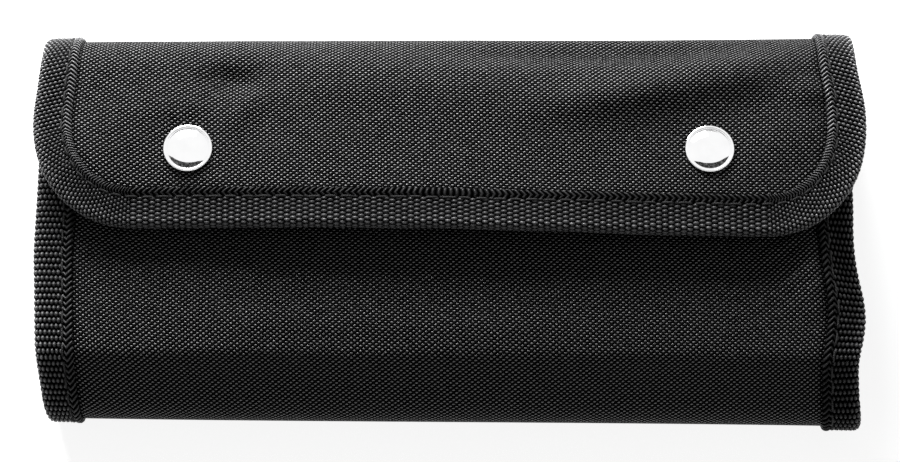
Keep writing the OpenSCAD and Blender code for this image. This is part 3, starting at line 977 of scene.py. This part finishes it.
def build_gussets():
    """End walls of the pouch, drawn in a little along their middle, with their flanges."""
    for side, word in SIDES:
        t = spread(0, 1, 0.012)
        middle = gusset_surface(side, t)
        du = np.gradient(middle, axis=0)
        dv = np.gradient(middle, axis=1)
        areas = np.cross(du, dv)
        sizes = np.linalg.norm(areas, axis=-1, keepdims=True)
        half = areas / np.maximum(sizes, 1e-9) * GUSSET_T / 2
        hops = np.linalg.norm(np.diff(middle, axis=0), axis=-1)
        across = lengths_to(hops.mean(1))
        lengths = t * (FOLD_MID - GUSSET_TRIM)
        uv = np.stack(np.meshgrid(lengths, across), -1)
        outer, inner = (middle + half) * MM, (middle - half) * MM
        piece = closed_sheet(f"gusset_cloth_{word}", outer, inner, uv, OUTER)
        on_case(piece)
        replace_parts(piece, f"gusset_{word}")


def build_case_tape(side, word, front_bright, rng):
    """The tape and stitches of one side of the case, up to the middle of the spine."""
    edge = side_edge(side, 0.0, SPINE_MID)
    under = GUSSET_T * (1 - step(GUSSET_END, GUSSET_END + 3, edge[1]))
    behind = step(115, 150, edge[1])
    tape = folded_tape(
        f"case_tape_{word}", knob_steps(edge), under,
        bright=between(front_bright, SIDE_BRIGHT, behind),
        narrow=between(0.3, 0.45, behind), selvedge_light=between(0.6, 1.15, behind),
    )
    blend_back(tape)
    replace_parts(tape, f"case_binding_{word}", f"spine_binding_{word}")
    outer, inner = (side_edge(side, low, SPINE_MID) for low in (4, GUSSET_END + 4))
    sew("case_stitches_{}_" + word, outer, inner, blend_back, rng)


def build_tapes():
    """The tapes of both sides, the flap and the mouth, with their stitches."""
    rng = random.Random(4)
    build_case_tape(-1, "left", LEFT_BRIGHT, rng)
    build_case_tape(1, "right", RIGHT_BRIGHT, rng)
    edge = flap_edge()
    beside = np.abs(edge[2])
    tape = folded_tape(
        "flap_tape", knob_steps(edge, True), slant=SIDE_SLANT * beside,
        bright=between(LOWER_BRIGHT, SIDE_BRIGHT, beside),
        narrow=0.45 * beside, selvedge_light=between(0.55, 1.15, beside),
    )
    blend_front(tape)
    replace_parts(tape, "flap_binding")
    sew("flap_stitches_{}", edge, edge, blend_front, rng)
    edge = mouth_edge()
    tape = folded_tape("mouth_tape", knob_steps(edge))
    on_case(tape)
    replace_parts(tape, "mouth_binding")
    sew("mouth_stitches_{}", edge, edge, on_case, rng)


def build_gusset_tapes():
    """Short tapes folded over the free edges of the gussets."""
    low, high = (c[2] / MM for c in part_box("gusset_binding_left"))
    for side, word in SIDES:
        z = spread(low, high, TAPE_PITCH)[:, None]
        inset, _, run, out_w, out_d = (part[None, :] for part in tape_profile())
        flat = ribbon(z, run)
        relief = tape_relief(flat[..., 0], flat[..., 1])
        bow = np.sin(math.pi * (z - low) / (high - low)) * step(0, TAPE_IN, inset)
        grids = []
        for off in (relief, relief * 0 - TAPE_T):
            x = side * (WALL_X - GUSSET_T / 2 - bow) + out_d * (GUSSET_T / 2 + TAPE_T + off)
            y = MOUTH_Y - inset - out_w * off
            grids.append(np.stack(np.broadcast_arrays(x, y, z), -1) * MM)
        marks = {"shade": painted_nose_light(run) + 0 * relief}
        piece = closed_sheet(f"gusset_tape_{word}", *grids, flat, TAPE, marks, 120)
        on_case(piece)
        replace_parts(piece, f"gusset_binding_{word}")


# The lining's face on the back, and the middle of the back
FLOOR_Z = CORNERS[BACK][1] + LAYERS
BACK_MID = CORNERS[BACK][0] + SIZES[BACK] / 2


def strap_line():
    """The strap's middle line [y, z]: flat between its loops and round over each of them."""
    line = []
    radius = LOOP_R + STRAP_T / 2
    clear = radius + 1.2
    for k in range(LOOP_N):
        centre = BACK_MID + (k - (LOOP_N - 1) / 2) * LOOP_PITCH
        foot = spread(centre - LOOP_PITCH / 2, centre - clear, 1.0)
        tail = spread(centre + clear, centre + LOOP_PITCH / 2, 1.0)
        line += [(y, FLOOR_Z + STRAP_T / 2) for y in foot]
        for a in np.radians(spread(174, 6, -8)):
            line.append((centre + radius * math.cos(a), FLOOR_Z + 0.4 + radius * math.sin(a)))
        line += [(y, FLOOR_Z + STRAP_T / 2) for y in tail]
    return np.array([p for i, p in enumerate(line) if i == 0 or p != line[i - 1]])


def bar_places(side, foot):
    """Places of the stitches across a strap's foot."""

    def places(t, rise, sway):
        x = side * STRAP_PITCH / 2 - STRAP_W / 2 + 1 + t
        return np.stack([x, foot + sway + 0 * t, FLOOR_Z + STRAP_T + rise], -1) * MM

    return places


def build_straps():
    """Elastic sewn down between its loops, with a bar of stitches at each foot."""
    rng = random.Random(9)
    for side, word in SIDES:
        line = strap_line()
        way = unit(np.gradient(line, axis=0))
        normal = np.stack([-way[:, 1], way[:, 0]], 1)
        run = lengths_to(np.linalg.norm(np.diff(line, axis=0), axis=1))
        x = spread(-STRAP_W / 2, STRAP_W / 2, 1.0)
        curl = 0.25 * (np.abs(x) / (STRAP_W / 2)) ** 6
        grids = []
        for offset, least in ((STRAP_T / 2, 0.3), (-STRAP_T / 2, 0.02)):
            at = line[:, None, :] + normal[:, None, :] * (offset - curl[None, :, None])
            high = np.maximum(at[..., 1], FLOOR_Z + least)
            wide = np.broadcast_to(side * STRAP_PITCH / 2 + x, high.shape)
            grids.append(np.stack([wide, at[..., 0], high], -1) * MM)
        uv = ribbon(x[None, :], run[:, None])
        strap = closed_sheet(f"strap_{word}", *grids, uv, ELASTIC)
        on_case(strap)
        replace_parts(strap, f"knife_strap_{word}")
        for k in range(LOOP_N + 1):
            foot = BACK_MID + (k - LOOP_N / 2) * LOOP_PITCH
            foot += {0: 1.6, LOOP_N: -1.6}.get(k, 0.0)
            row = stitch_row(f"strap_bar_{word}_{k}", STRAP_W - 2, bar_places(side, foot), rng)
            on_case(row)


# How far the elastic stands out over the pocket's edge
HEM_OVER = 1.2


def build_pocket():
    depths = (LAYERS + 0.02, LAYERS + POCKET_T)
    ends = (POCKET_DROP, MARKS[FOLD])
    pocket = layer_piece("pocket_cloth", depths, ends, POCKET_W / 2, LINING, 1.6)
    depths = (LAYERS + POCKET_T + 0.02, LAYERS + 2 * POCKET_T)
    ends = (POCKET_DROP - HEM_OVER, POCKET_DROP + HEM_W)
    hem = layer_piece("pocket_hem_band", depths, ends, POCKET_W / 2, ELASTIC, 1.2)
    for piece, node, slot, length in (
        (pocket, "slip_pocket", "lining_fabric", MARKS[FOLD] - POCKET_DROP),
        (hem, "pocket_hem", "elastic", HEM_W + HEM_OVER),
    ):
        on_case(piece)
        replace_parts(piece, node)


def dress_frame_nodes():
    finishes = {
        "snap_caps": POLISHED, "snap_sockets": PLATED, "socket_springs": PLATED,
        "snap_studs": PLATED, "stud_eyelets": PLATED, "back_board": BOARD, "base_board": BOARD,
    }
    for name, material in finishes.items():
        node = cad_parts[name]
        node.data.materials.clear()
        node.data.materials.append(material)
        node.data.shade_smooth()
        node.data.set_sharp_from_angle(angle=math.radians(35))


# The camera's direction from the case and its roll in degrees, its distance and place in mm
CAMERA_AZIMUTH, CAMERA_ELEVATION, CAMERA_ROLL = 0.46, 75.55, -0.37
CAMERA_DISTANCE, CAMERA_LENS = 850.0, 111.04
CAMERA_TARGET = (0.41, -1.89, 20.0)
# Light of the surroundings on the object, and the floor's own glow for the camera and metal
WORLD_LEVEL = 0.08
FLOOR_GLOW = 0.85
# The dark crescent that the caps mirror: its outer radius, its inner radius at its middle,
# how far it reaches to each side, and the card's distance in metres. The cap's dome is taken
# as a part of a sphere.
DOME_R = 10.4
CRESCENT_OUT, CRESCENT_IN, CRESCENT_ENDS = 6.4, 4.75, 80.0
CARD_AWAY = 2.5


def direction(azimuth, elevation):
    a, e = math.radians(azimuth), math.radians(elevation)
    return Vector((math.sin(a) * math.cos(e), -math.cos(a) * math.cos(e), math.sin(e)))


def build_camera():
    data = bpy.data.cameras.new("camera")
    data.lens = CAMERA_LENS
    data.sensor_width = 36.0
    data.clip_start, data.clip_end = 0.05, 20.0
    camera = add_object("camera", data)
    back = direction(CAMERA_AZIMUTH, CAMERA_ELEVATION)
    camera.location = (Vector(CAMERA_TARGET) + back * CAMERA_DISTANCE) * MM
    turn = (-back).to_track_quat("-Z", "Y")
    roll = Quaternion((0, 0, 1), math.radians(CAMERA_ROLL))
    camera.rotation_mode = "QUATERNION"
    camera.rotation_quaternion = turn @ roll
    bpy.context.scene.camera = camera


def area_light(name, azimuth, elevation, distance, size, power):
    """A lamp that shines at the case from a direction. Its distance and size are in metres."""
    data = bpy.data.lights.new(name, "AREA")
    data.shape = "RECTANGLE"
    data.size, data.size_y = size
    data.energy = power
    lamp = add_object(name, data)
    way = direction(azimuth, elevation)
    lamp.location = way * distance + Vector((0, 0, 0.02))
    lamp.rotation_mode = "QUATERNION"
    lamp.rotation_quaternion = way.to_track_quat("Z", "Y")


def build_world():
    """Pale surroundings. The camera and the metal see them white."""
    g = Graph("studio", world=True)
    g.set(Color=(1, 1, 1, 1), Strength=g.remap(g.seen(), 0.0, 1.0, WORLD_LEVEL, 1.0))
    bpy.context.scene.world = g.data


def mirrored(x, y):
    """The direction in which the camera sees the surroundings at a place on a cap."""
    lean = Matrix.Rotation(math.radians(FRONT_TILT), 3, "X")
    normal = lean.inverted() @ Vector((x, y, math.sqrt(DOME_R**2 - x * x - y * y))).normalized()
    view = direction(CAMERA_AZIMUTH, CAMERA_ELEVATION)
    return 2 * normal.dot(view) * normal - view


def build_card():
    """A dark card that only the metal sees."""
    end_x = CRESCENT_OUT * math.sin(math.radians(CRESCENT_ENDS))
    end_y = -CRESCENT_OUT * math.cos(math.radians(CRESCENT_ENDS))
    sag = CRESCENT_IN + end_y
    radius = (end_x**2 + sag**2) / (2 * sag)
    middle = Vector(CAMERA_TARGET) * MM
    points, faces = [], []
    for i, x in enumerate(np.linspace(-end_x, end_x, 41)):
        upper = -CRESCENT_IN + radius - math.sqrt(radius**2 - x * x)
        lower = -math.sqrt(CRESCENT_OUT**2 - x * x)
        points += [middle + mirrored(x, y) * CARD_AWAY for y in (upper + 0.1, lower - 0.05)]
        if i:
            faces.append((2 * i - 2, 2 * i - 1, 2 * i + 1, 2 * i))
    mesh = bpy.data.meshes.new("card")
    mesh.from_pydata(points, [], faces)
    g = Graph("card_paint")
    streak = g.noise(g.place(), 6.0, 3.0)
    g.set(Base_Color=(0.01, 0.01, 0.01, 1), Roughness=0.9, Emission_Color=(1, 1, 1, 1))
    g.set(Emission_Strength=g.remap(streak, 0.45, 0.7, 0.01, 0.2))
    mesh.materials.append(g.data)
    card = add_object("card", mesh)
    card.visible_camera = card.visible_diffuse = False
    card.visible_shadow = card.visible_transmission = False


def build_floor():
    size = 3.0
    mesh = bpy.data.meshes.new("floor")
    ring = [(-size, -size, 0), (size, -size, 0), (size, size, 0), (-size, size, 0)]
    mesh.from_pydata(ring, [], [(0, 1, 2, 3)])
    g = Graph("floor_paint")
    cloud = g.noise(g.place(), 3.0, 3.0)
    g.set(Base_Color=g.tint((0.93, 0.93, 0.93, 1), g.remap(cloud, 0.2, 0.8, 0.985, 1.0)))
    g.set(Roughness=0.9, Specular_IOR_Level=0.1)
    g.set(Emission_Color=(1, 1, 1, 1), Emission_Strength=g.times(g.seen(), FLOOR_GLOW))
    mesh.materials.append(g.data)
    add_object("floor", mesh)


def build_stage():
    build_camera()
    build_world()
    build_floor()
    area_light("window", 195, 19.5, distance=0.58, size=(0.45, 0.22), power=8.5)
    area_light("fill", 0, 22, distance=2.8, size=(2.6, 1.3), power=4.5)
    build_card()
    bpy.context.scene.view_settings.view_transform = "Standard"


build_case_sheets()
build_flap_sheets()
build_cores()
build_gussets()
build_tapes()
build_gusset_tapes()
build_straps()
build_pocket()
dress_frame_nodes()
build_stage()
